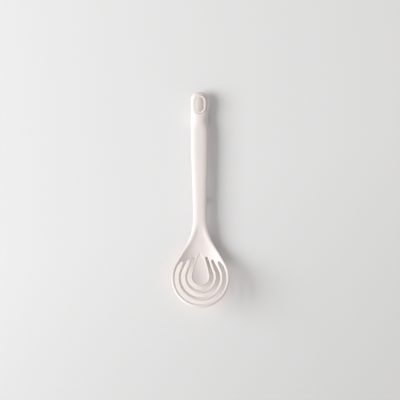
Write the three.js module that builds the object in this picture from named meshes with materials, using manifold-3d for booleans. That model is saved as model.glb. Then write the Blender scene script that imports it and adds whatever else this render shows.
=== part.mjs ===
// A rice washing stick: a slotted, dished scoop and the handle's front in one moulding, a back cover
// that closes the hollow handle, a steel counterweight inside it, an oval hanging eyelet and a rest foot.
// Millimetres. +X is to the right, +Y runs along the handle to its end, +Z is up.
// The origin lies on the table, below the middle of the stick's length.

import * as THREE from 'three';
import { mergeVertices } from 'three/addons/utils/BufferGeometryUtils.js';
import Module from 'manifold-3d';

// Driving dimensions: the stick as a whole
const TOOL_LENGTH = 240;
const CLEARANCE = 0.3;

// Driving dimensions: handle
const GRIP_WIDTH = 19;
const NECK_WIDTH = 15.5;
const HANDLE_TOP = 14;
const UNDERSIDE_AT_FOOT = 7;
const UNDERSIDE_AT_HEEL = 6.6;
const HEEL_CENTRE = 88;
const HEEL_REACH = 10;
const HEEL_CUT = 0.8;
const TAIL_DROP = 1.9;
const END_LENGTH = 10;
const END_SQUARENESS = 2.5;
const TAIL_SQUARENESS = 2.1;
const GRIP_SQUARENESS = 2.5;
const SQUARE_FROM = 100;
const SQUARE_TO = 70;
const TAPER_START = 66;
const TAPER_END = -14;

// Driving dimensions: neck and scoop
const HEAD_RADIUS = 32.8;
const SHOULDER_ANGLE = THREE.MathUtils.degToRad(30);
const NECK_FILLET = 60;
const SCOOP_START = -16;
const SCOOP_FULL = -46;
const NECK_DROP = 3.5;
const NECK_DISH_START = -25;
const NECK_DISH_FULL = -42;
const NECK_DISH_DEPTH = 1.1;
const NECK_DISH_POWER = 3;
const HEAD_DISH_START = -42;
const HEAD_DISH_DEPTH = 10;
const HEAD_DISH_POWER = 1.7;
const CREST_START = -26;
const CREST_FULL = -70;
const CREST_WIDTH = 4.5;
const EDGE_FULL = -62;
const EDGE_WIDTH = 1.9;
const EDGE_SQUARENESS = 2;
const THIN_FROM = -66;
const HEAD_THICKNESS = 2;
const HEAD_TILT = THREE.MathUtils.degToRad(30);
const TILT_START = -48;
const TILT_BEND = 28;

// Driving dimensions: slots and tongue
const SLOT_COUNT = 3;
const SLOT_WIDTH = 4.5;
const RIB_WIDTH = 2.6;
const RIM_WIDTH = 3.8;
const SLOT_CENTRE_STEP = 0.8;
const SLOT_LEAN = THREE.MathUtils.degToRad(30);
const SLOT_LEAN_STEP = THREE.MathUtils.degToRad(6.75);
const SLOT_TAPER = THREE.MathUtils.degToRad(2.6);
const SLOT_LEG = 1.5;
const SLOT_LEG_STEP = 7.2;
const SLOT_END_ROUND = 1.5;
const TONGUE_BORDER = 1.2;
const TONGUE_POINT = -60;
const TONGUE_RECESS = 0.7;

// Driving dimensions: back cover and the hollow that it closes
const COVER_WIDTH = 10.6;
const COVER_THICKNESS = 2;
const COVER_START = -10;
const COVER_END = 76;
const LEDGE_WIDTH = 1.5;
const HANDLE_WALL = 2;
const PIN_PLACES = [14, 28];
const PIN_DIAMETER = 3;
const PIN_TOP = 11;
const BOSS_DIAMETER = 6.6;
const BOSS_BOTTOM = 9.3;
const WEB_THICKNESS = 2;
const WEB_BOTTOM = 9.2;

// Driving dimensions: counterweight
const WEIGHT_LENGTH = 36;
const WEIGHT_HEIGHT = 2.2;
const RIDGE_LENGTH = 2;

// Driving dimensions: hanging eyelet
const EYELET_CENTRE = 106.5;
const EYELET_BORE_WIDTH = 9.8;
const EYELET_BORE_LENGTH = 16.2;
const EYELET_WALL = 1.2;
const LIP_WIDTH = 2.25;
const LIP_TOP = 14.2;
const LIP_THICKNESS = 2;
const LIP_ROUND = 0.4;
const EYELET_FOOT = 6;

// Driving dimensions: rest foot
const FOOT_WIDTH = 8;
const FOOT_LENGTH = 5.5;
const FOOT_SEAT = 1;
const FOOT_ROUND = 0.6;
const STEM_DIAMETER = 4;
const STUD_DIAMETER = 6.4;
const STUD_HEIGHT = 1.4;

// Mesh fineness
const SECTION_STEPS = 20;
const END_STEPS = 6;
const TAIL_STEPS = 9;
const HEEL_STEPS = 5;
const HANDLE_STEPS = 9;
const NECK_STEPS = 16;
const HEAD_STEPS = 24;
const ARC_STEPS = 7;
const SLOT_ARC_STEPS = 15;
const ROUND_STEPS = 2;
const LAST_RING_ANGLE = THREE.MathUtils.degToRad(3);

// Places that follow from the driving dimensions
const HANDLE_END = TOOL_LENGTH / 2;
const END_START = HANDLE_END - END_LENGTH;
const HEAD_CENTRE = HEAD_RADIUS - TOOL_LENGTH / 2;
const SHOULDER_X = HEAD_RADIUS * Math.cos(SHOULDER_ANGLE);
const SHOULDER_Y = HEAD_CENTRE + HEAD_RADIUS * Math.sin(SHOULDER_ANGLE);
const NECK_CORNER = SHOULDER_Y + (SHOULDER_X - NECK_WIDTH / 2) / Math.tan(SHOULDER_ANGLE);
const FILLET_REACH = NECK_FILLET * Math.tan(SHOULDER_ANGLE / 2);
const FILLET_START = NECK_CORNER + FILLET_REACH;
const FILLET_END = NECK_CORNER - FILLET_REACH * Math.cos(SHOULDER_ANGLE);
const UNDERSIDE_SLOPE = (UNDERSIDE_AT_FOOT - UNDERSIDE_AT_HEEL) / HEEL_CENTRE;
const CAVITY_WIDTH = COVER_WIDTH - 2 * LEDGE_WIDTH;
const CAVITY_START = COVER_START + LEDGE_WIDTH;
const CAVITY_END = COVER_END - LEDGE_WIDTH;
const CAVITY_TOP = HANDLE_TOP - HANDLE_WALL;
const WEIGHT_END = CAVITY_END - CLEARANCE;
const WEIGHT_START = WEIGHT_END - WEIGHT_LENGTH;
const WEIGHT_BOTTOM = CAVITY_TOP - CLEARANCE - WEIGHT_HEIGHT;
const WEIGHT_WIDTH = CAVITY_WIDTH - 2 * CLEARANCE;
const LIP_SEAT = LIP_TOP - LIP_THICKNESS;
const FOOT_TOP = UNDERSIDE_AT_FOOT + FOOT_SEAT;

const { lerp } = THREE.MathUtils;
const wasm = await Module();
wasm.setup();

// Turns a closed geometry into a solid that can be joined and cut.
function solidOf(geometry) {
  const bare = geometry.clone();
  bare.deleteAttribute('normal');
  bare.deleteAttribute('uv');
  const merged = mergeVertices(bare);
  const vertProperties = new Float32Array(merged.attributes.position.array);
  const triVerts = new Uint32Array(merged.index.array);
  return new wasm.Manifold(new wasm.Mesh({ numProp: 3, vertProperties, triVerts }));
}

// Turns a solid back into a geometry.
function geometryOf(solid) {
  const mesh = solid.getMesh();
  const geometry = new THREE.BufferGeometry();
  geometry.setAttribute('position', new THREE.BufferAttribute(new Float32Array(mesh.vertProperties), 3));
  geometry.setIndex(new THREE.BufferAttribute(new Uint32Array(mesh.triVerts), 1));
  geometry.computeVertexNormals();
  return geometry;
}

function smoothShare(value, from, to) {
  return THREE.MathUtils.smoothstep((value - from) / (to - from), 0, 1);
}

// Height of a unit superellipse above its middle.
function roundedShare(reach, squareness) {
  return Math.pow(Math.max(0, 1 - Math.pow(Math.abs(reach), squareness)), 1 / squareness);
}

// Plan outline: half the stick's width at a place along its length.
function halfWidth(y) {
  if (y > END_START) {
    return (GRIP_WIDTH / 2) * roundedShare((y - END_START) / END_LENGTH, END_SQUARENESS);
  }
  if (y > FILLET_START) {
    return lerp(NECK_WIDTH, GRIP_WIDTH, smoothShare(y, TAPER_END, TAPER_START)) / 2;
  }
  if (y > FILLET_END) {
    return NECK_WIDTH / 2 + NECK_FILLET - Math.sqrt(NECK_FILLET ** 2 - (FILLET_START - y) ** 2);
  }
  if (y > SHOULDER_Y) {
    return SHOULDER_X - (y - SHOULDER_Y) * Math.tan(SHOULDER_ANGLE);
  }
  return Math.sqrt(HEAD_RADIUS ** 2 - (y - HEAD_CENTRE) ** 2);
}

// Lowest line of the handle: nearly level and clear of the table, with a rounded heel that stands on it
// and a slightly lower tail behind the heel.
function undersideHeight(y) {
  const heel = (UNDERSIDE_AT_HEEL + HEEL_CUT) * smoothShare(Math.abs(y - HEEL_CENTRE), HEEL_REACH, 0);
  const tail = TAIL_DROP * smoothShare(y, HEEL_CENTRE, HEEL_CENTRE + HEEL_REACH);
  return UNDERSIDE_AT_FOOT - UNDERSIDE_SLOPE * y - heel - tail;
}

// Height of the scoop's rim: a small drop at the neck, then a smooth bend into the head's tilt.
function rimHeight(y) {
  const run = Math.max(0, TILT_START - y);
  const bent = run < TILT_BEND ? run ** 2 / (2 * TILT_BEND) : run - TILT_BEND / 2;
  return HANDLE_TOP - NECK_DROP * smoothShare(y, SCOOP_START, SCOOP_FULL) + bent * Math.tan(HEAD_TILT);
}

// The handle's part of a section: its thickness, the height of its middle and how square it is.
function handleSection(y) {
  const endShare = roundedShare(Math.max(0, y - END_START) / END_LENGTH, END_SQUARENESS);
  const thickness = (HANDLE_TOP - undersideHeight(y)) * endShare;
  const middle = (HANDLE_TOP + undersideHeight(y)) / 2;
  const squared = smoothShare(y, SQUARE_FROM, SQUARE_TO);
  return { thickness, middle, squareness: lerp(TAIL_SQUARENESS, GRIP_SQUARENESS, squared) };
}

// The dish's part of a section: how deep it is, how flat its floor is and how far in its crest lies.
function dishSection(y) {
  const dished = smoothShare(y, HEAD_DISH_START, HEAD_CENTRE);
  const neckDepth = NECK_DISH_DEPTH * smoothShare(y, NECK_DISH_START, NECK_DISH_FULL);
  const crestWidth = lerp(CREST_WIDTH, EDGE_WIDTH, smoothShare(y, CREST_START, CREST_FULL));
  const depth = lerp(neckDepth, HEAD_DISH_DEPTH, dished);
  return { depth, power: lerp(NECK_DISH_POWER, HEAD_DISH_POWER, dished), crestWidth };
}

// One closed cross-section of the moulding, from its left edge over the top and back below.
function bodySection(y) {
  const half = halfWidth(y);
  const below = Math.max(0, HEAD_CENTRE - y) / HEAD_RADIUS;
  const radius = below > 0 ? HEAD_RADIUS : half;
  const handle = handleSection(y);
  const dish = dishSection(y);
  const edged = smoothShare(y, SCOOP_START, EDGE_FULL);
  const thickness = lerp(handle.thickness, HEAD_THICKNESS, smoothShare(y, SCOOP_START, THIN_FROM));
  const scoopMiddle = rimHeight(y) - HEAD_THICKNESS / 2;
  const middle = lerp(handle.middle, scoopMiddle, smoothShare(y, SCOOP_START, SCOOP_FULL));
  const squareness = lerp(handle.squareness, EDGE_SQUARENESS, edged);
  const edgeWidth = lerp(radius, EDGE_WIDTH, edged);
  const crestReach = 1 - dish.crestWidth / Math.max(radius, NECK_WIDTH / 2);

  const top = [];
  const bottom = [];
  for (let step = 0; step <= SECTION_STEPS; step++) {
    const across = Math.sin(lerp(-Math.PI / 2, Math.PI / 2, step / SECTION_STEPS));
    const reach = Math.min(1, Math.hypot((across * half) / radius, below));
    const height = middle - dish.depth * (1 - Math.min(1, reach / crestReach) ** dish.power);
    const inward = Math.min(1, ((1 - reach) * radius) / edgeWidth);
    const rise = (thickness / 2) * roundedShare(1 - inward, squareness);
    top.push(new THREE.Vector3(across * half, y, height + rise));
    if (step > 0 && step < SECTION_STEPS) {
      bottom.unshift(new THREE.Vector3(across * half, y, height - rise));
    }
  }
  return top.concat(bottom);
}

// Evenly spaced places from one to another, without the last.
function evenPlaces(from, to, steps) {
  return Array.from({ length: steps }, (_, step) => lerp(from, to, step / steps));
}

// Places along the length where sections are taken, from the handle's end to the scoop's tip.
function sectionPlaces() {
  const places = [];
  for (let step = 0; step < END_STEPS; step++) {
    const angle = lerp(LAST_RING_ANGLE, Math.PI / 2, step / END_STEPS);
    places.push(END_START + END_LENGTH * Math.cos(angle));
  }
  const heelFront = HEEL_CENTRE - HEEL_REACH;
  places.push(...evenPlaces(END_START, HEEL_CENTRE, TAIL_STEPS));
  places.push(...evenPlaces(HEEL_CENTRE, heelFront, HEEL_STEPS));
  places.push(...evenPlaces(heelFront, SCOOP_START, HANDLE_STEPS));
  places.push(...evenPlaces(SCOOP_START, SHOULDER_Y, NECK_STEPS));
  for (let step = 0; step <= HEAD_STEPS; step++) {
    const angle = lerp(SHOULDER_ANGLE, LAST_RING_ANGLE - Math.PI / 2, step / HEAD_STEPS);
    places.push(HEAD_CENTRE + HEAD_RADIUS * Math.sin(angle));
  }
  return places;
}

// Skins a row of sections and closes both ends.
function loft(sections) {
  const count = sections[0].length;
  const positions = [];
  const indices = [];
  for (const section of sections) {
    for (const point of section) {
      positions.push(point.x, point.y, point.z);
    }
  }
  for (let ring = 0; ring < sections.length - 1; ring++) {
    for (let side = 0; side < count; side++) {
      const here = ring * count + side;
      const next = ring * count + ((side + 1) % count);
      indices.push(here, here + count, next);
      indices.push(next, here + count, next + count);
    }
  }
  const last = (sections.length - 1) * count;
  for (let side = 1; side < count - 1; side++) {
    indices.push(0, side, side + 1);
    indices.push(last, last + side + 1, last + side);
  }
  const geometry = new THREE.BufferGeometry();
  geometry.setAttribute('position', new THREE.Float32BufferAttribute(positions, 3));
  geometry.setIndex(indices);
  return geometry;
}

// An upright prism between two heights.
function prism(shape, bottom, top, curveSegments = ARC_STEPS) {
  const geometry = new THREE.ExtrudeGeometry(shape, {
    depth: top - bottom,
    bevelEnabled: false,
    curveSegments,
  });
  return geometry.translate(0, 0, bottom);
}

// An upright prism whose edges at both ends are rounded, with the given outer size.
function roundedPrism(makeShape, round, bottom, top) {
  const geometry = new THREE.ExtrudeGeometry(makeShape(-round), {
    depth: top - bottom - 2 * round,
    bevelSize: round,
    bevelThickness: round,
    bevelSegments: ROUND_STEPS,
    curveSegments: ARC_STEPS,
  });
  return geometry.translate(0, 0, bottom + round);
}

// An oval with straight sides along Y, grown on all sides by an offset.
function longOval(width, length, centreY, grow) {
  const radius = width / 2 + grow;
  const reach = (length - width) / 2;
  const shape = new THREE.Shape();
  shape.absarc(0, centreY + reach, radius, 0, Math.PI);
  shape.absarc(0, centreY - reach, radius, Math.PI, 2 * Math.PI);
  return shape;
}

// The same oval with its straight sides along X.
function wideOval(width, length, grow) {
  const radius = length / 2 + grow;
  const reach = (width - length) / 2;
  const shape = new THREE.Shape();
  shape.absarc(reach, 0, radius, -Math.PI / 2, Math.PI / 2);
  shape.absarc(-reach, 0, radius, Math.PI / 2, 1.5 * Math.PI);
  return shape;
}

function disc(diameter, centreY) {
  const shape = new THREE.Shape();
  shape.absarc(0, centreY, diameter / 2, 0, 2 * Math.PI);
  return shape;
}

function upright(diameter, centreY, bottom, top) {
  return solidOf(prism(disc(diameter, centreY), bottom, top));
}

function block(width, startY, endY, bottom, top) {
  const geometry = new THREE.BoxGeometry(width, endY - startY, top - bottom);
  return solidOf(geometry.translate(0, (startY + endY) / 2, (bottom + top) / 2));
}

// Half of a U-shaped line: an arc below, then a leg that leans in towards the handle.
function uLine(radius, centreY, lean, legEnd) {
  const tangentX = radius * Math.cos(lean);
  const tangentY = centreY + radius * Math.sin(lean);
  const endX = tangentX - (legEnd - tangentY) * Math.tan(lean);
  return { radius, lean, tangentX, tangentY, endX };
}

// Sizes of one U-shaped slot; order 0 is next to the rim.
function slotSizes(order) {
  const outerRadius = HEAD_RADIUS - RIM_WIDTH - order * (SLOT_WIDTH + RIB_WIDTH);
  const centreY = HEAD_CENTRE + order * SLOT_CENTRE_STEP;
  const lean = SLOT_LEAN - order * SLOT_LEAN_STEP;
  const legStart = centreY + outerRadius * Math.sin(lean + SLOT_TAPER);
  const legEnd = legStart + SLOT_LEG + order * SLOT_LEG_STEP;
  const outer = uLine(outerRadius, centreY, lean + SLOT_TAPER, legEnd);
  const inner = uLine(outerRadius - SLOT_WIDTH, centreY, lean - SLOT_TAPER, legEnd);
  return { centreY, legEnd, outer, inner };
}

function slotShape(order) {
  const { centreY, legEnd, outer, inner } = slotSizes(order);
  const endMiddle = (outer.endX + inner.endX) / 2;
  const endHalf = (outer.endX - inner.endX) / 2;
  const shape = new THREE.Shape();
  shape.moveTo(inner.endX, legEnd);
  shape.lineTo(inner.tangentX, inner.tangentY);
  shape.absarc(0, centreY, inner.radius, inner.lean, Math.PI - inner.lean, true);
  shape.lineTo(-inner.endX, legEnd);
  shape.absellipse(-endMiddle, legEnd, endHalf, SLOT_END_ROUND, 0, Math.PI);
  shape.lineTo(-outer.tangentX, outer.tangentY);
  shape.absarc(0, centreY, outer.radius, Math.PI - outer.lean, outer.lean);
  shape.lineTo(outer.endX, legEnd);
  shape.absellipse(endMiddle, legEnd, endHalf, SLOT_END_ROUND, 0, Math.PI);
  return shape;
}

// The tongue's dish in plan: a drop that points at the handle.
function tongueShape() {
  const { centreY, inner } = slotSizes(SLOT_COUNT - 1);
  const radius = inner.radius - TONGUE_BORDER;
  const pointAngle = Math.asin(radius / (TONGUE_POINT - centreY));
  const shape = new THREE.Shape();
  shape.moveTo(0, TONGUE_POINT);
  shape.absarc(0, centreY, radius, Math.PI - pointAngle, pointAngle);
  return shape;
}

// Brings a prism that stands on a level underside to the handle's sloping one.
function onUnderside(geometry) {
  const tilt = new THREE.Matrix4().makeRotationX(-Math.atan(UNDERSIDE_SLOPE));
  tilt.setPosition(0, 0, UNDERSIDE_AT_FOOT);
  return geometry.applyMatrix4(tilt);
}

function coverPrism(grow, top) {
  const length = COVER_END - COVER_START;
  const shape = longOval(COVER_WIDTH, length, (COVER_START + COVER_END) / 2, grow);
  return solidOf(onUnderside(prism(shape, -2 * COVER_THICKNESS, top)));
}

function cavityPrism() {
  const length = CAVITY_END - CAVITY_START;
  const shape = longOval(CAVITY_WIDTH, length, (CAVITY_START + CAVITY_END) / 2, 0);
  return solidOf(prism(shape, 0, CAVITY_TOP));
}

function eyeletPrism(grow, bottom, top) {
  return solidOf(prism(longOval(EYELET_BORE_WIDTH, EYELET_BORE_LENGTH, EYELET_CENTRE, grow), bottom, top));
}

const moulding = solidOf(loft(sectionPlaces().map(bodySection)));
const tableTop = block(2 * GRIP_WIDTH, 0, TOOL_LENGTH, -4 * HEEL_CUT, 0);

// Front moulding: scoop, neck and handle shell
function slottedBody() {
  const headTop = rimHeight(-TOOL_LENGTH / 2) + HEAD_THICKNESS;
  let body = moulding.subtract(tableTop);
  for (let order = 0; order < SLOT_COUNT; order++) {
    body = body.subtract(solidOf(prism(slotShape(order), 0, headTop, SLOT_ARC_STEPS)));
  }
  const dish = solidOf(prism(tongueShape(), 0, headTop)).subtract(moulding.translate(0, 0, -TONGUE_RECESS));
  body = body.subtract(dish);

  body = body.subtract(coverPrism(CLEARANCE, COVER_THICKNESS + CLEARANCE)).subtract(cavityPrism());
  const webEnd = WEIGHT_START - CLEARANCE;
  const bedded = CAVITY_TOP + HANDLE_WALL / 4;
  body = body.add(block(CAVITY_WIDTH + LEDGE_WIDTH, webEnd - WEB_THICKNESS, webEnd, WEB_BOTTOM, bedded));
  for (const place of PIN_PLACES) {
    const hole = upright(PIN_DIAMETER + 2 * CLEARANCE, place, 0, PIN_TOP + CLEARANCE);
    body = body.add(upright(BOSS_DIAMETER, place, BOSS_BOTTOM, bedded)).subtract(hole);
  }

  body = body.subtract(eyeletPrism(EYELET_WALL + CLEARANCE, -HANDLE_TOP, 2 * HANDLE_TOP));
  return body.subtract(eyeletPrism(LIP_WIDTH + CLEARANCE, LIP_SEAT, 2 * HANDLE_TOP));
}

// Back cover: a strip of the handle's underside with two pins, two ridges and the foot's socket
function handleBackCover() {
  const inside = COVER_THICKNESS / 2 + UNDERSIDE_AT_FOOT;
  let cover = moulding.intersect(coverPrism(0, COVER_THICKNESS));
  for (const place of PIN_PLACES) {
    cover = cover.add(upright(PIN_DIAMETER, place, inside - UNDERSIDE_SLOPE * place, PIN_TOP));
  }
  for (const share of [0.2, 0.8]) {
    const place = lerp(WEIGHT_START, WEIGHT_END, share);
    const start = place - RIDGE_LENGTH / 2;
    const bottom = inside - UNDERSIDE_SLOPE * place;
    cover = cover.add(block(WEIGHT_WIDTH, start, start + RIDGE_LENGTH, bottom, WEIGHT_BOTTOM - CLEARANCE));
  }
  const socket = solidOf(prism(wideOval(FOOT_WIDTH, FOOT_LENGTH, CLEARANCE), 0, FOOT_TOP));
  return cover.subtract(socket).subtract(upright(STEM_DIAMETER + 2 * CLEARANCE, 0, 0, HANDLE_TOP));
}

// Counterweight: a bar that lies between the web and the cavity's end
function counterweight() {
  const bottom = WEIGHT_BOTTOM;
  const top = WEIGHT_BOTTOM + WEIGHT_HEIGHT;
  const makeShape = (grow) => longOval(WEIGHT_WIDTH, WEIGHT_LENGTH, (WEIGHT_START + WEIGHT_END) / 2, grow);
  return solidOf(roundedPrism(makeShape, FOOT_ROUND, bottom, top));
}

// Hanging eyelet: an oval tube with a rounded lip
function hangingEyelet() {
  const makeLip = (grow) => longOval(EYELET_BORE_WIDTH, EYELET_BORE_LENGTH, EYELET_CENTRE, LIP_WIDTH + grow);
  const lip = solidOf(roundedPrism(makeLip, LIP_ROUND, LIP_SEAT, LIP_TOP));
  const tube = eyeletPrism(EYELET_WALL, EYELET_FOOT, LIP_SEAT + LIP_THICKNESS / 2);
  return lip.add(tube).subtract(eyeletPrism(0, 0, 2 * HANDLE_TOP));
}

// Rest foot: a pad under the handle, held by a stem and a stud inside the cover
function restFoot() {
  const studBottom = UNDERSIDE_AT_FOOT + COVER_THICKNESS + CLEARANCE + UNDERSIDE_SLOPE * STUD_DIAMETER / 2;
  const pad = solidOf(roundedPrism((grow) => wideOval(FOOT_WIDTH, FOOT_LENGTH, grow), FOOT_ROUND, 0, FOOT_TOP));
  const stem = upright(STEM_DIAMETER, 0, FOOT_TOP - FOOT_SEAT, studBottom + STUD_HEIGHT / 2);
  const stud = upright(STUD_DIAMETER, 0, studBottom, studBottom + STUD_HEIGHT);
  return pad.add(stem).add(stud);
}

const matteOffWhite = { color: 0xe8dfdc, roughness: 0.6, metalness: 0 };
const softOffWhite = { color: 0xe2d8d4, roughness: 0.8, metalness: 0 };
const plainSteel = { color: 0x9a9a9c, roughness: 0.4, metalness: 1 };

function piece(name, solid, look) {
  const mesh = new THREE.Mesh(geometryOf(solid), new THREE.MeshStandardMaterial(look));
  mesh.name = name;
  return mesh;
}

const riceWashingStick = new THREE.Group();
riceWashingStick.add(piece('slotted_body', slottedBody(), matteOffWhite));
riceWashingStick.add(piece('handle_back_cover', handleBackCover(), matteOffWhite));
riceWashingStick.add(piece('counterweight', counterweight(), plainSteel));
riceWashingStick.add(piece('hanging_eyelet', hangingEyelet(), matteOffWhite));
riceWashingStick.add(piece('rest_foot', restFoot(), softOffWhite));

export default riceWashingStick;
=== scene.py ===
import math

import bmesh
import bpy
import numpy as np
from mathutils import Matrix, Vector


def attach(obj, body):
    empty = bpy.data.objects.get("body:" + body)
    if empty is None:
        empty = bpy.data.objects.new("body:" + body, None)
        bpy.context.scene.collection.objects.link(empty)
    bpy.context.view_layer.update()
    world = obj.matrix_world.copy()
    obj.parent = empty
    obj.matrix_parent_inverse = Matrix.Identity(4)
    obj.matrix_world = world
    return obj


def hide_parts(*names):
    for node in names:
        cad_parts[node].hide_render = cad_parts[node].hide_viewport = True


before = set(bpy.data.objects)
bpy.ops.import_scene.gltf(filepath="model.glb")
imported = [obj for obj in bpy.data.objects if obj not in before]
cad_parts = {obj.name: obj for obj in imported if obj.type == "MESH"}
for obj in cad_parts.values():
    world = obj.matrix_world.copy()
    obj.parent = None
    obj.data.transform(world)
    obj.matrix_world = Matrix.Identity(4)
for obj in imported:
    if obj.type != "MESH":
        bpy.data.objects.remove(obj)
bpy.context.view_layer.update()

# The stick's sizes in millimetres, as in the part's source apart from the rim, the tongue and the eyelet
MM = 0.001
TOOL_LENGTH = 240
CLEARANCE = 0.3

GRIP_WIDTH = 19
NECK_WIDTH = 15.5
HANDLE_TOP = 14
UNDERSIDE_AT_FOOT = 7
UNDERSIDE_AT_HEEL = 6.6
HEEL_CENTRE = 88
HEEL_REACH = 10
HEEL_CUT = 0.8
TAIL_DROP = 1.9
END_LENGTH = 10
END_SQUARENESS = 2.5
TAIL_SQUARENESS = 2.1
GRIP_SQUARENESS = 2.5
SQUARE_FROM = 100
SQUARE_TO = 70
TAPER_START = 66
TAPER_END = -14

HEAD_RADIUS = 32.1
HEAD_CENTRE = -87.2
SHOULDER_ANGLE = math.radians(30)
NECK_FILLET = 60
SCOOP_START = -16
SCOOP_FULL = -46
NECK_DROP = 3.5
NECK_DISH_START = -25
NECK_DISH_FULL = -42
NECK_DISH_DEPTH = 1.1
NECK_DISH_POWER = 3
HEAD_DISH_START = -42
HEAD_DISH_DEPTH = 10
HEAD_DISH_POWER = 1.7
CREST_START = -26
CREST_FULL = -70
CREST_WIDTH = 4.5
EDGE_FULL = -62
EDGE_WIDTH = 1.9
EDGE_SQUARENESS = 4
THIN_FROM = -66
HEAD_THICKNESS = 2
HEAD_TILT = math.radians(30)
TILT_START = -48
TILT_BEND = 28

SLOT_COUNT = 3
SLOT_WIDTH = 4.5
RIB_WIDTH = 2.6
RIM_WIDTH = 3.1
SLOT_CENTRE_STEP = 0.8
SLOT_LEAN = math.radians(30)
SLOT_LEAN_STEP = math.radians(6.75)
SLOT_TAPER = math.radians(2.6)
SLOT_LEG = 1.5
SLOT_LEG_STEP = 7.2
SLOT_END_ROUND = 1.5
TONGUE_BORDER = 1.5
TONGUE_POINT = -59
TONGUE_RECESS = 0.35

COVER_WIDTH = 10.6
COVER_THICKNESS = 2
COVER_START = -10
COVER_END = 76
LEDGE_WIDTH = 1.5
HANDLE_WALL = 2
PIN_PLACES = (14, 28)
PIN_DIAMETER = 3
PIN_TOP = 11
BOSS_DIAMETER = 6.6
BOSS_BOTTOM = 9.3
WEB_THICKNESS = 2
WEB_BOTTOM = 9.2

WEIGHT_LENGTH = 36
WEIGHT_HEIGHT = 2.2
RIDGE_LENGTH = 2
RIDGE_PLACES = (0.2, 0.8)

EYELET_CENTRE = 106.5
EYELET_BORE_WIDTH = 9.8
EYELET_BORE_LENGTH = 16.2
EYELET_WALL = 1.2
LIP_WIDTH = 2.25
LIP_TOP = 14.2
LIP_THICKNESS = 2
LIP_ROUND = 0.4
LIP_GAP = 0.12
BORE_ROUND = 0.2
EYELET_FOOT = 6

FOOT_WIDTH = 8
FOOT_LENGTH = 5.5
FOOT_SEAT = 1
FOOT_ROUND = 0.6
STEM_DIAMETER = 4
STUD_DIAMETER = 6.4
STUD_HEIGHT = 1.4

# Fineness of the visual meshes
SECTION_STEPS = 64
END_STEPS = 20
TAIL_STEPS = 22
HEEL_STEPS = 12
HANDLE_STEPS = 24
NECK_STEPS = 60
HEAD_STEPS = 70
ARC_STEPS = 40
LINE_STEP = 1
MERGE_DISTANCE = 1e-4
ROUND_STEPS = 6
LAST_RING_ANGLE = math.radians(2)
VOXEL = 0.35
EDGE_SOFTENING = 6

# Places that follow from the sizes
HANDLE_END = TOOL_LENGTH / 2
END_START = HANDLE_END - END_LENGTH
SHOULDER_X = HEAD_RADIUS * math.cos(SHOULDER_ANGLE)
SHOULDER_Y = HEAD_CENTRE + HEAD_RADIUS * math.sin(SHOULDER_ANGLE)
NECK_CORNER = SHOULDER_Y + (SHOULDER_X - NECK_WIDTH / 2) / math.tan(SHOULDER_ANGLE)
FILLET_REACH = NECK_FILLET * math.tan(SHOULDER_ANGLE / 2)
FILLET_START = NECK_CORNER + FILLET_REACH
FILLET_END = NECK_CORNER - FILLET_REACH * math.cos(SHOULDER_ANGLE)
UNDERSIDE_SLOPE = (UNDERSIDE_AT_FOOT - UNDERSIDE_AT_HEEL) / HEEL_CENTRE
CAVITY_WIDTH = COVER_WIDTH - 2 * LEDGE_WIDTH
CAVITY_START = COVER_START + LEDGE_WIDTH
CAVITY_END = COVER_END - LEDGE_WIDTH
CAVITY_TOP = HANDLE_TOP - HANDLE_WALL
WEIGHT_END = CAVITY_END - CLEARANCE
WEIGHT_START = WEIGHT_END - WEIGHT_LENGTH
WEIGHT_WIDTH = CAVITY_WIDTH - 2 * CLEARANCE
WEIGHT_BOTTOM = CAVITY_TOP - CLEARANCE - WEIGHT_HEIGHT
LIP_SEAT = LIP_TOP - LIP_THICKNESS
FOOT_TOP = UNDERSIDE_AT_FOOT + FOOT_SEAT


# Small helpers for shapes
def lerp(start, end, share):
    return start + (end - start) * share


def smooth_share(value, start, end):
    share = np.clip((value - start) / (end - start), 0, 1)
    return share * share * (3 - 2 * share)


def rounded_share(reach, squareness):
    """Height of a unit superellipse above its middle."""
    return np.maximum(0, 1 - np.abs(reach) ** squareness) ** (1 / squareness)


def arc(centre_x, centre_y, radius, start, end):
    angles = np.linspace(start, end, ARC_STEPS + 1)
    return [(centre_x + radius * math.cos(a), centre_y + radius * math.sin(a)) for a in angles]


def fine(outline):
    """The same closed outline with more points on its straight stretches."""
    points = []
    for here, there in zip(outline, outline[1:] + outline[:1]):
        steps = max(1, math.ceil(math.dist(here, there) / LINE_STEP))
        points += [tuple(lerp(a, b, step / steps) for a, b in zip(here, there)) for step in range(steps)]
    return points


def long_oval(width, length, centre_y, grow=0.0):
    """An oval with straight sides along Y."""
    radius = width / 2 + grow
    reach = (length - width) / 2
    upper = arc(0, centre_y + reach, radius, 0, math.pi)
    lower = arc(0, centre_y - reach, radius, math.pi, 2 * math.pi)
    return upper + lower


def wide_oval(width, length, grow=0.0):
    """An oval with straight sides along X, centred on the origin."""
    return [(y, -x) for x, y in long_oval(length, width, 0, grow)]


def new_piece(name, vertices, faces):
    """A mesh object from points in millimetres."""
    mesh = bpy.data.meshes.new(name)
    mesh.from_pydata([tuple(MM * c for c in v) for v in vertices], [], faces)
    builder = bmesh.new()
    builder.from_mesh(mesh)
    bmesh.ops.remove_doubles(builder, verts=builder.verts, dist=MERGE_DISTANCE * MM)
    bmesh.ops.recalc_face_normals(builder, faces=builder.faces)
    builder.to_mesh(mesh)
    builder.free()
    piece = bpy.data.objects.new(name, mesh)
    bpy.context.scene.collection.objects.link(piece)
    return piece


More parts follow.
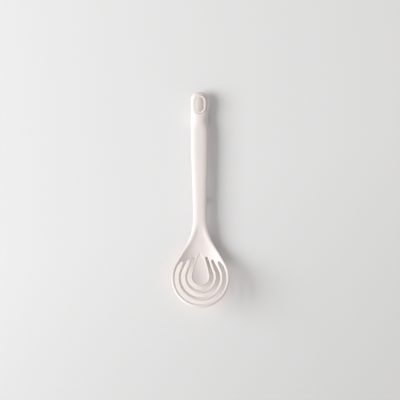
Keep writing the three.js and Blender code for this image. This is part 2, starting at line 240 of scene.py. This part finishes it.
def skin(name, rings, closed=False):
    """A mesh over a row of rings: its last ring joins the first, or both ends are capped."""
    count = len(rings[0])
    vertices = [point for ring in rings for point in ring]
    faces = []
    for ring in range(len(rings) if closed else len(rings) - 1):
        here = ring * count
        there = (ring + 1) % len(rings) * count
        for side in range(count):
            after = (side + 1) % count
            faces.append((here + side, here + after, there + after, there + side))
    if not closed:
        faces.append(tuple(range(count)))
        faces.append(tuple(range(len(vertices) - count, len(vertices))))
    return new_piece(name, vertices, faces)


def prism(outline, bottom, top):
    """An upright prism, used to join and cut."""
    rings = [[(x, y, z) for x, y in outline] for z in (bottom, top)]
    return skin("cutter", rings)


def upright(diameter, centre_y, bottom, top):
    return prism(arc(0, centre_y, diameter / 2, 0, 2 * math.pi)[:-1], bottom, top)


def block(width, start_y, end_y, bottom, top):
    half = width / 2
    outline = [(-half, start_y), (half, start_y), (half, end_y), (-half, end_y)]
    return prism(outline, bottom, top)


def combine(piece, tool, operation):
    """Joins, cuts or intersects a piece with a tool, which is used up."""
    change = piece.modifiers.new(operation.lower(), "BOOLEAN")
    change.operation = operation
    change.solver = "MANIFOLD"
    change.object = tool
    settle(piece)
    bpy.data.objects.remove(tool)


def settle(piece):
    """Turns a piece's modifiers into its mesh."""
    graph = bpy.context.evaluated_depsgraph_get()
    mesh = bpy.data.meshes.new_from_object(piece.evaluated_get(graph))
    piece.modifiers.clear()
    piece.data = mesh


def soften_edges(piece):
    """Gives a cut piece even faces and the small round edges of a moulding."""
    remesh = piece.modifiers.new("even_faces", "REMESH")
    remesh.mode = "VOXEL"
    remesh.voxel_size = VOXEL * MM
    smooth = piece.modifiers.new("round_edges", "SMOOTH")
    smooth.factor = 0.5
    smooth.iterations = EDGE_SOFTENING
    settle(piece)
    piece.data.shade_smooth()


# Moulding: plan outline, side profile and cross-sections
def half_width(y):
    if y > END_START:
        return GRIP_WIDTH / 2 * rounded_share((y - END_START) / END_LENGTH, END_SQUARENESS)
    if y > FILLET_START:
        return lerp(NECK_WIDTH, GRIP_WIDTH, smooth_share(y, TAPER_END, TAPER_START)) / 2
    if y > FILLET_END:
        return NECK_WIDTH / 2 + NECK_FILLET - math.sqrt(NECK_FILLET**2 - (FILLET_START - y) ** 2)
    if y > SHOULDER_Y:
        return SHOULDER_X - (y - SHOULDER_Y) * math.tan(SHOULDER_ANGLE)
    return math.sqrt(HEAD_RADIUS**2 - (y - HEAD_CENTRE) ** 2)


def underside_height(y):
    heel = (UNDERSIDE_AT_HEEL + HEEL_CUT) * smooth_share(abs(y - HEEL_CENTRE), HEEL_REACH, 0)
    tail = TAIL_DROP * smooth_share(y, HEEL_CENTRE, HEEL_CENTRE + HEEL_REACH)
    return UNDERSIDE_AT_FOOT - UNDERSIDE_SLOPE * y - heel - tail


def rim_height(y):
    run = max(0, TILT_START - y)
    bent = run**2 / (2 * TILT_BEND) if run < TILT_BEND else run - TILT_BEND / 2
    return HANDLE_TOP - NECK_DROP * smooth_share(y, SCOOP_START, SCOOP_FULL) + bent * math.tan(HEAD_TILT)


def handle_section(y):
    """The handle's part of a section: its thickness, the height of its middle and how square it is."""
    end_share = rounded_share(max(0, y - END_START) / END_LENGTH, END_SQUARENESS)
    thickness = (HANDLE_TOP - underside_height(y)) * end_share
    middle = (HANDLE_TOP + underside_height(y)) / 2
    squared = smooth_share(y, SQUARE_FROM, SQUARE_TO)
    return thickness, middle, lerp(TAIL_SQUARENESS, GRIP_SQUARENESS, squared)


def dish_section(y):
    """The dish's part of a section: how deep it is, how flat its floor is and how far in its crest lies."""
    dished = smooth_share(y, HEAD_DISH_START, HEAD_CENTRE)
    neck_depth = NECK_DISH_DEPTH * smooth_share(y, NECK_DISH_START, NECK_DISH_FULL)
    crest_width = lerp(CREST_WIDTH, EDGE_WIDTH, smooth_share(y, CREST_START, CREST_FULL))
    depth = lerp(neck_depth, HEAD_DISH_DEPTH, dished)
    return depth, lerp(NECK_DISH_POWER, HEAD_DISH_POWER, dished), crest_width


def tilt_slope(y):
    """How steeply the head's plane rises towards the tip."""
    return math.tan(HEAD_TILT) * min(1, max(0, TILT_START - y) / TILT_BEND)


def rim_reach(x, y):
    """How far out a place lies, from none on the axis to one on the outline, and the radius for that."""
    below = max(0, HEAD_CENTRE - y) / HEAD_RADIUS
    radius = HEAD_RADIUS if below > 0 else half_width(y)
    return np.minimum(1, np.hypot(x / radius, below)), radius


def middle_height(x, y):
    """Height of the surface halfway through the wall."""
    reach, radius = rim_reach(x, y)
    depth, power, crest_width = dish_section(y)
    crest_reach = 1 - crest_width / max(radius, NECK_WIDTH / 2)
    _, handle_middle, _ = handle_section(y)
    scoop_middle = rim_height(y) - HEAD_THICKNESS / 2
    middle = lerp(handle_middle, scoop_middle, smooth_share(y, SCOOP_START, SCOOP_FULL))
    return middle - depth * (1 - np.minimum(1, reach / crest_reach) ** power)


def body_section(y):
    """One closed cross-section, from its left edge over the top and back below.

    On the tilted head its top is set back towards the handle, so that the rim's edge stands square.
    """
    x = half_width(y) * np.sin(np.linspace(-math.pi / 2, math.pi / 2, SECTION_STEPS + 1))
    reach, radius = rim_reach(x, y)
    handle_thickness, _, handle_squareness = handle_section(y)
    thickness = lerp(handle_thickness, HEAD_THICKNESS, smooth_share(y, SCOOP_START, THIN_FROM))
    edged = smooth_share(y, SCOOP_START, EDGE_FULL)
    squareness = lerp(handle_squareness, EDGE_SQUARENESS, edged)
    edge_width = lerp(radius, EDGE_WIDTH, edged)

    inward = np.minimum(1, (1 - reach) * radius / edge_width)
    rise = thickness / 2 * rounded_share(1 - inward, squareness)
    height = middle_height(x, y)
    lean = tilt_slope(y)
    top = list(zip(x, y + 2 * lean * rise, height + rise))
    bottom = list(zip(x, np.full_like(x, y), height - rise))
    return top + bottom[-2:0:-1]


def section_places():
    end_angles = np.linspace(LAST_RING_ANGLE, math.pi / 2, END_STEPS, endpoint=False)
    heel_front = HEEL_CENTRE - HEEL_REACH
    head_angles = np.linspace(SHOULDER_ANGLE, LAST_RING_ANGLE - math.pi / 2, HEAD_STEPS + 1)
    return [
        *(END_START + END_LENGTH * np.cos(end_angles)),
        *np.linspace(END_START, HEEL_CENTRE, TAIL_STEPS, endpoint=False),
        *np.linspace(HEEL_CENTRE, heel_front, HEEL_STEPS, endpoint=False),
        *np.linspace(heel_front, SCOOP_START, HANDLE_STEPS, endpoint=False),
        *np.linspace(SCOOP_START, SHOULDER_Y, NECK_STEPS, endpoint=False),
        *(HEAD_CENTRE + HEAD_RADIUS * np.sin(head_angles)),
    ]


def moulding(name):
    """The whole outer form, before anything is cut from it."""
    return skin(name, [body_section(y) for y in section_places()])


# Slots and tongue in plan
def u_line(radius, centre_y, lean, leg_end):
    """Half of a U-shaped line: its arc's radius, its leg's lean and how far out the leg ends."""
    tangent_x = radius * math.cos(lean)
    tangent_y = centre_y + radius * math.sin(lean)
    return radius, lean, tangent_x - (leg_end - tangent_y) * math.tan(lean)


def slot_sizes(order):
    outer_radius = HEAD_RADIUS - RIM_WIDTH - order * (SLOT_WIDTH + RIB_WIDTH)
    centre_y = HEAD_CENTRE + order * SLOT_CENTRE_STEP
    lean = SLOT_LEAN - order * SLOT_LEAN_STEP
    leg_start = centre_y + outer_radius * math.sin(lean + SLOT_TAPER)
    leg_end = leg_start + SLOT_LEG + order * SLOT_LEG_STEP
    outer = u_line(outer_radius, centre_y, lean + SLOT_TAPER, leg_end)
    inner = u_line(outer_radius - SLOT_WIDTH, centre_y, lean - SLOT_TAPER, leg_end)
    return centre_y, leg_end, outer, inner


def slot_outline(order):
    centre_y, leg_end, outer, inner = slot_sizes(order)
    outer_radius, outer_lean, outer_end = outer
    inner_radius, inner_lean, inner_end = inner
    end_middle = (outer_end + inner_end) / 2
    return fine([
        *arc(0, centre_y, inner_radius, inner_lean, -math.pi - inner_lean),
        *arc(-end_middle, leg_end, SLOT_END_ROUND, 0, math.pi),
        *arc(0, centre_y, outer_radius, math.pi - outer_lean, 2 * math.pi + outer_lean),
        *arc(end_middle, leg_end, SLOT_END_ROUND, 0, math.pi),
    ])


def tongue_outline():
    """A pointed arch that aims at the handle, on a half round."""
    centre_y, _, _, inner = slot_sizes(SLOT_COUNT - 1)
    radius = inner[0] - TONGUE_BORDER
    rise = TONGUE_POINT - centre_y
    side = (rise**2 + radius**2) / (2 * radius)
    point_angle = math.asin(rise / side)
    return [
        *arc(radius - side, centre_y, side, 0, point_angle),
        *arc(side - radius, centre_y, side, math.pi - point_angle, math.pi),
        *arc(0, centre_y, radius, math.pi, 2 * math.pi),
    ]


def slot_tool(order, top):
    """A prism that stands square to the tilted head and cuts one slot."""
    outline = slot_outline(order)
    rings = []
    for z in (0, top):
        rings.append([(x, y + tilt_slope(y) * (z - middle_height(x, y)), z) for x, y in outline])
    return skin("cutter", rings)


# Tools that cut the handle
def cover_tool(grow, top):
    outline = long_oval(COVER_WIDTH, COVER_END - COVER_START, (COVER_START + COVER_END) / 2, grow)
    tool = prism(outline, -2 * COVER_THICKNESS, top)
    lift = Matrix.Translation((0, 0, UNDERSIDE_AT_FOOT * MM))
    tool.data.transform(lift @ Matrix.Rotation(-math.atan(UNDERSIDE_SLOPE), 4, "X"))
    return tool


def cavity_tool():
    length = CAVITY_END - CAVITY_START
    return prism(long_oval(CAVITY_WIDTH, length, (CAVITY_START + CAVITY_END) / 2), 0, CAVITY_TOP)


def eyelet_tool(grow, bottom, top):
    return prism(long_oval(EYELET_BORE_WIDTH, EYELET_BORE_LENGTH, EYELET_CENTRE, grow), bottom, top)


# Front moulding
def slotted_body():
    body = moulding("slotted_body_skin")
    head_top = rim_height(-TOOL_LENGTH / 2) + HEAD_THICKNESS
    for order in range(SLOT_COUNT):
        combine(body, slot_tool(order, head_top), "DIFFERENCE")
    recess = prism(tongue_outline(), 0, head_top)
    recess_floor = moulding("lowered")
    recess_floor.data.transform(Matrix.Translation((0, 0, -TONGUE_RECESS * MM)))
    combine(recess, recess_floor, "DIFFERENCE")
    combine(body, recess, "DIFFERENCE")

    combine(body, block(2 * GRIP_WIDTH, 0, TOOL_LENGTH, -4 * HEEL_CUT, 0), "DIFFERENCE")
    combine(body, cover_tool(CLEARANCE, COVER_THICKNESS + CLEARANCE), "DIFFERENCE")
    combine(body, cavity_tool(), "DIFFERENCE")
    bedded = CAVITY_TOP + HANDLE_WALL / 4
    web_end = WEIGHT_START - CLEARANCE
    web = block(CAVITY_WIDTH + LEDGE_WIDTH, web_end - WEB_THICKNESS, web_end, WEB_BOTTOM, bedded)
    combine(body, web, "UNION")
    for place in PIN_PLACES:
        combine(body, upright(BOSS_DIAMETER, place, BOSS_BOTTOM, bedded), "UNION")
        combine(body, upright(PIN_DIAMETER + 2 * CLEARANCE, place, 0, PIN_TOP + CLEARANCE), "DIFFERENCE")
    combine(body, eyelet_tool(EYELET_WALL + CLEARANCE, -HANDLE_TOP, 2 * HANDLE_TOP), "DIFFERENCE")
    combine(body, eyelet_tool(LIP_WIDTH + LIP_GAP, LIP_SEAT, 2 * HANDLE_TOP), "DIFFERENCE")
    soften_edges(body)
    return body


# Back cover
def back_cover():
    cover = moulding("handle_back_cover_skin")
    combine(cover, cover_tool(0, COVER_THICKNESS), "INTERSECT")
    inside = COVER_THICKNESS / 2 + UNDERSIDE_AT_FOOT
    for place in PIN_PLACES:
        combine(cover, upright(PIN_DIAMETER, place, inside - UNDERSIDE_SLOPE * place, PIN_TOP), "UNION")
    for share in RIDGE_PLACES:
        place = lerp(WEIGHT_START, WEIGHT_END, share)
        start = place - RIDGE_LENGTH / 2
        bottom = inside - UNDERSIDE_SLOPE * place
        ridge = block(WEIGHT_WIDTH, start, start + RIDGE_LENGTH, bottom, WEIGHT_BOTTOM - CLEARANCE)
        combine(cover, ridge, "UNION")
    combine(cover, prism(wide_oval(FOOT_WIDTH, FOOT_LENGTH, CLEARANCE), 0, FOOT_TOP), "DIFFERENCE")
    combine(cover, upright(STEM_DIAMETER + 2 * CLEARANCE, 0, 0, HANDLE_TOP), "DIFFERENCE")
    soften_edges(cover)
    return cover


# Hanging eyelet: one cross-section swept round the hole
def eyelet():
    def corner(centre, height, radius, start):
        """A quarter round of the lip's section, as distances from the bore and heights."""
        angles = np.linspace(start, start - math.pi / 2, ROUND_STEPS + 1)
        return [(centre + radius * math.cos(a), height + radius * math.sin(a)) for a in angles]

    section = [
        (0, EYELET_FOOT),
        *corner(BORE_ROUND, LIP_TOP - BORE_ROUND, BORE_ROUND, math.pi),
        *corner(LIP_WIDTH - LIP_ROUND, LIP_TOP - LIP_ROUND, LIP_ROUND, math.pi / 2),
        *corner(LIP_WIDTH - LIP_ROUND, LIP_SEAT + LIP_ROUND, LIP_ROUND, 0),
        (EYELET_WALL, LIP_SEAT),
        (EYELET_WALL, EYELET_FOOT),
    ]
    rings = []
    for distance, height in section:
        outline = long_oval(EYELET_BORE_WIDTH, EYELET_BORE_LENGTH, EYELET_CENTRE, distance)
        rings.append([(x, y, height) for x, y in outline])
    piece = skin("hanging_eyelet_skin", rings, closed=True)
    piece.data.shade_smooth()
    return piece


# Rest foot: a pad with rounded edges, a stem and a stud
def foot():
    rings = []
    for angle in np.linspace(math.pi / 2, 0, ROUND_STEPS + 1):
        inset = FOOT_ROUND * (math.cos(angle) - 1)
        height = FOOT_ROUND * (1 - math.sin(angle))
        rings.append([(x, y, height) for x, y in wide_oval(FOOT_WIDTH, FOOT_LENGTH, inset)])
    rings += [[(x, y, FOOT_TOP - z) for x, y, z in ring] for ring in reversed(rings)]
    piece = skin("rest_foot_skin", rings)
    stud_bottom = UNDERSIDE_AT_FOOT + COVER_THICKNESS + CLEARANCE + UNDERSIDE_SLOPE * STUD_DIAMETER / 2
    combine(piece, upright(STEM_DIAMETER, 0, FOOT_TOP - FOOT_SEAT, stud_bottom + STUD_HEIGHT / 2), "UNION")
    combine(piece, upright(STUD_DIAMETER, 0, stud_bottom, stud_bottom + STUD_HEIGHT), "UNION")
    piece.data.shade_smooth()
    return piece


# Materials
def new_material(name):
    material = bpy.data.materials.new(name)
    material.use_nodes = True
    return material, material.node_tree.nodes, material.node_tree.links


def moulded(name, low, high, roughness, grain, grain_depth):
    """A matte moulded surface: faint clouding in its colour, uneven gloss and a fine grain."""
    cloud_scale = 45
    gloss_spread = 0.06
    grain_strength = 0.3
    material, nodes, links = new_material(name)
    shader = nodes["Principled BSDF"]
    place = nodes.new("ShaderNodeTexCoord")

    clouds = nodes.new("ShaderNodeTexNoise")
    clouds.inputs["Scale"].default_value = cloud_scale
    clouds.inputs["Detail"].default_value = 3
    links.new(place.outputs["Object"], clouds.inputs["Vector"])
    tint = nodes.new("ShaderNodeValToRGB")
    tint.color_ramp.elements[0].position = 0.3
    tint.color_ramp.elements[0].color = (*low, 1)
    tint.color_ramp.elements[1].position = 0.7
    tint.color_ramp.elements[1].color = (*high, 1)
    links.new(clouds.outputs["Fac"], tint.inputs["Fac"])
    links.new(tint.outputs["Color"], shader.inputs["Base Color"])

    gloss = nodes.new("ShaderNodeMapRange")
    gloss.inputs["To Min"].default_value = roughness - gloss_spread
    gloss.inputs["To Max"].default_value = roughness + gloss_spread
    links.new(clouds.outputs["Fac"], gloss.inputs["Value"])
    links.new(gloss.outputs["Result"], shader.inputs["Roughness"])

    texture = nodes.new("ShaderNodeTexNoise")
    texture.inputs["Scale"].default_value = grain
    texture.inputs["Detail"].default_value = 2
    links.new(place.outputs["Object"], texture.inputs["Vector"])
    bump = nodes.new("ShaderNodeBump")
    bump.inputs["Strength"].default_value = grain_strength
    bump.inputs["Distance"].default_value = grain_depth * MM
    links.new(texture.outputs["Fac"], bump.inputs["Height"])
    links.new(bump.outputs["Normal"], shader.inputs["Normal"])
    return material


def drawn_steel(name):
    """Bare bar steel with fine lines along its length."""
    line_scale = (3000, 60, 3000)
    dark_line = (0.28, 0.28, 0.29, 1)
    pale_line = (0.42, 0.42, 0.43, 1)
    material, nodes, links = new_material(name)
    shader = nodes["Principled BSDF"]
    shader.inputs["Metallic"].default_value = 1
    place = nodes.new("ShaderNodeTexCoord")
    stretch = nodes.new("ShaderNodeMapping")
    stretch.inputs["Scale"].default_value = line_scale
    links.new(place.outputs["Object"], stretch.inputs["Vector"])
    lines = nodes.new("ShaderNodeTexNoise")
    lines.inputs["Scale"].default_value = 1
    links.new(stretch.outputs["Vector"], lines.inputs["Vector"])
    tint = nodes.new("ShaderNodeValToRGB")
    tint.color_ramp.elements[0].color = dark_line
    tint.color_ramp.elements[1].color = pale_line
    links.new(lines.outputs["Fac"], tint.inputs["Fac"])
    links.new(tint.outputs["Color"], shader.inputs["Base Color"])
    gloss = nodes.new("ShaderNodeMapRange")
    gloss.inputs["To Min"].default_value = 0.32
    gloss.inputs["To Max"].default_value = 0.5
    links.new(lines.outputs["Fac"], gloss.inputs["Value"])
    links.new(gloss.outputs["Result"], shader.inputs["Roughness"])
    return material


def painted_light_mask(nodes, links, place, centre_y, width, length):
    """A soft oval mask on the table for a pool of painted light, one near its middle and nothing outside
    it.
    """
    full_from = 0.7
    fit = nodes.new("ShaderNodeMapping")
    fit.inputs["Location"].default_value = (0, -2 * centre_y / length, 0)
    fit.inputs["Scale"].default_value = (2 / (width * MM), 2 / (length * MM), 1)
    links.new(place.outputs["Object"], fit.inputs["Vector"])
    fade = nodes.new("ShaderNodeTexGradient")
    fade.gradient_type = "SPHERICAL"
    links.new(fit.outputs["Vector"], fade.inputs["Vector"])
    mask = nodes.new("ShaderNodeMapRange")
    mask.interpolation_type = "SMOOTHSTEP"
    mask.inputs["From Max"].default_value = full_from
    links.new(fade.outputs["Fac"], mask.inputs["Value"])
    return mask.outputs["Result"]


def table_paint(name):
    """Pale paint with painted shade, darker to the front right, and painted warm bounce light, lighter and
    warmer, below the head and the hole.
    """
    # Painted shade: the paint darkens towards the front right, where the lamp's light falls off.
    painted_shade_towards = (0.4, -1, 0)
    painted_shade_length = 0.3
    lit_back_paint = (0.775, 0.775, 0.783, 1)
    shaded_front_paint = (0.70, 0.70, 0.707, 1)
    # Painted light: lighter, warmer paint below the head and the hole, for warm light bounced off the
    # stick.
    painted_bounce_light = (0.84, 0.79, 0.757, 1)
    painted_bounce_spots = ((HEAD_CENTRE, 110, 110), (EYELET_CENTRE, 26, 34))
    material, nodes, links = new_material(name)
    shader = nodes["Principled BSDF"]
    shader.inputs["Roughness"].default_value = 0.9
    shader.inputs["Specular IOR Level"].default_value = 0.1
    place = nodes.new("ShaderNodeTexCoord")

    to_front = nodes.new("ShaderNodeVectorMath")
    to_front.operation = "DOT_PRODUCT"
    to_front.inputs[1].default_value = painted_shade_towards
    links.new(place.outputs["Object"], to_front.inputs[0])
    # Painted shade: a ramp from the lit back paint to the darker front paint.
    painted_shade_fall = nodes.new("ShaderNodeMapRange")
    painted_shade_fall.inputs["From Min"].default_value = 0
    painted_shade_fall.inputs["From Max"].default_value = painted_shade_length
    links.new(to_front.outputs["Value"], painted_shade_fall.inputs["Value"])
    painted_falloff = nodes.new("ShaderNodeValToRGB")
    painted_falloff.color_ramp.elements[0].color = lit_back_paint
    painted_falloff.color_ramp.elements[1].color = shaded_front_paint
    links.new(painted_shade_fall.outputs["Result"], painted_falloff.inputs["Fac"])

    colour = painted_falloff.outputs["Color"]
    # Painted light: each spot mixes in the lighter, warmer bounce paint.
    for centre_y, width, length in painted_bounce_spots:
        bounce_lit = nodes.new("ShaderNodeMix")
        bounce_lit.data_type = "RGBA"
        links.new(painted_light_mask(nodes, links, place, centre_y, width, length), bounce_lit.inputs["Factor"])
        links.new(colour, bounce_lit.inputs["A"])
        bounce_lit.inputs["B"].default_value = painted_bounce_light
        colour = bounce_lit.outputs["Result"]
    links.new(colour, shader.inputs["Base Color"])
    return material


def paint(piece, material):
    piece.data.materials.clear()
    piece.data.materials.append(material)


body_plastic = moulded(
    "body_plastic",
    low=(0.78, 0.72, 0.705),
    high=(0.80, 0.735, 0.72),
    roughness=0.55,
    grain=2200,
    grain_depth=0.05,
)
foot_rubber = moulded(
    "foot_rubber",
    low=(0.72, 0.66, 0.64),
    high=(0.74, 0.68, 0.66),
    roughness=0.8,
    grain=1500,
    grain_depth=0.08,
)
weight_steel = drawn_steel("weight_steel")

for piece, node, slot, material in (
    (slotted_body(), "slotted_body", "body_plastic", body_plastic),
    (back_cover(), "handle_back_cover", "body_plastic", body_plastic),
    (eyelet(), "hanging_eyelet", "body_plastic", body_plastic),
    (foot(), "rest_foot", "foot_rubber", foot_rubber),
):
    paint(piece, material)
    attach(piece, "root")
    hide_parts(node)
paint(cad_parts["counterweight"], weight_steel)


# Table, light and camera
def make_table():
    half = 3.0
    corners = [(-half, -half, 0), (half, -half, 0), (half, half, 0), (-half, half, 0)]
    mesh = bpy.data.meshes.new("table")
    mesh.from_pydata(corners, [], [(0, 1, 2, 3)])
    table = bpy.data.objects.new("table", mesh)
    bpy.context.scene.collection.objects.link(table)
    paint(table, table_paint("table_paint"))


def make_key_light():
    """A large soft window of light, low on the left."""
    distance = 2.6
    elevation = math.radians(33)
    along_stick = -0.02
    lamp = bpy.data.lights.new("key", "AREA")
    lamp.shape = "RECTANGLE"
    lamp.size = 1.73
    lamp.size_y = 1.56
    lamp.energy = 71
    lamp.color = (0.985, 1.0, 1.0)
    key = bpy.data.objects.new("key", lamp)
    key.location = (-distance * math.cos(elevation), along_stick, distance * math.sin(elevation))
    key.rotation_euler = (-Vector(key.location)).to_track_quat("-Z", "Y").to_euler()
    key.visible_camera = False
    bpy.context.scene.collection.objects.link(key)


def make_surroundings():
    """Slightly warm light from all round, stronger from the front, and a pale backdrop for the camera."""
    stronger_from = (-0.1, -0.3, 0)
    mean_strength = 0.505
    world = bpy.data.worlds.new("surroundings")
    world.use_nodes = True
    nodes = world.node_tree.nodes
    links = world.node_tree.links
    ambient = nodes["Background"]
    ambient.inputs["Color"].default_value = (1.0, 0.97, 0.945, 1)
    place = nodes.new("ShaderNodeTexCoord")
    towards_front = nodes.new("ShaderNodeVectorMath")
    towards_front.operation = "DOT_PRODUCT"
    towards_front.inputs[1].default_value = stronger_from
    links.new(place.outputs["Generated"], towards_front.inputs[0])
    strength = nodes.new("ShaderNodeMapRange")
    strength.inputs["From Min"].default_value = -1
    strength.inputs["To Min"].default_value = 0
    strength.inputs["To Max"].default_value = 2 * mean_strength
    links.new(towards_front.outputs["Value"], strength.inputs["Value"])
    links.new(strength.outputs["Result"], ambient.inputs["Strength"])
    backdrop = nodes.new("ShaderNodeBackground")
    backdrop.inputs["Color"].default_value = (0.78, 0.78, 0.78, 1)
    rays = nodes.new("ShaderNodeLightPath")
    choose = nodes.new("ShaderNodeMixShader")
    links.new(rays.outputs["Is Camera Ray"], choose.inputs["Fac"])
    links.new(ambient.outputs["Background"], choose.inputs[1])
    links.new(backdrop.outputs["Background"], choose.inputs[2])
    links.new(choose.outputs["Shader"], nodes["World Output"].inputs["Surface"])
    bpy.context.scene.world = world


def make_camera():
    """Straight down from far above, with the handle's end at the top of the image."""
    height = 6.0
    view_width = 0.4448
    roll = math.radians(-0.35)
    camera_data = bpy.data.cameras.new("camera")
    camera_data.lens = camera_data.sensor_width * height / view_width
    camera = bpy.data.objects.new("camera", camera_data)
    camera.location = (0, 0, HANDLE_TOP * MM + height)
    camera.rotation_euler = (0, 0, roll)
    bpy.context.scene.collection.objects.link(camera)
    bpy.context.scene.camera = camera


make_table()
make_key_light()
make_surroundings()
make_camera()
bpy.context.scene.view_settings.view_transform = "Standard"
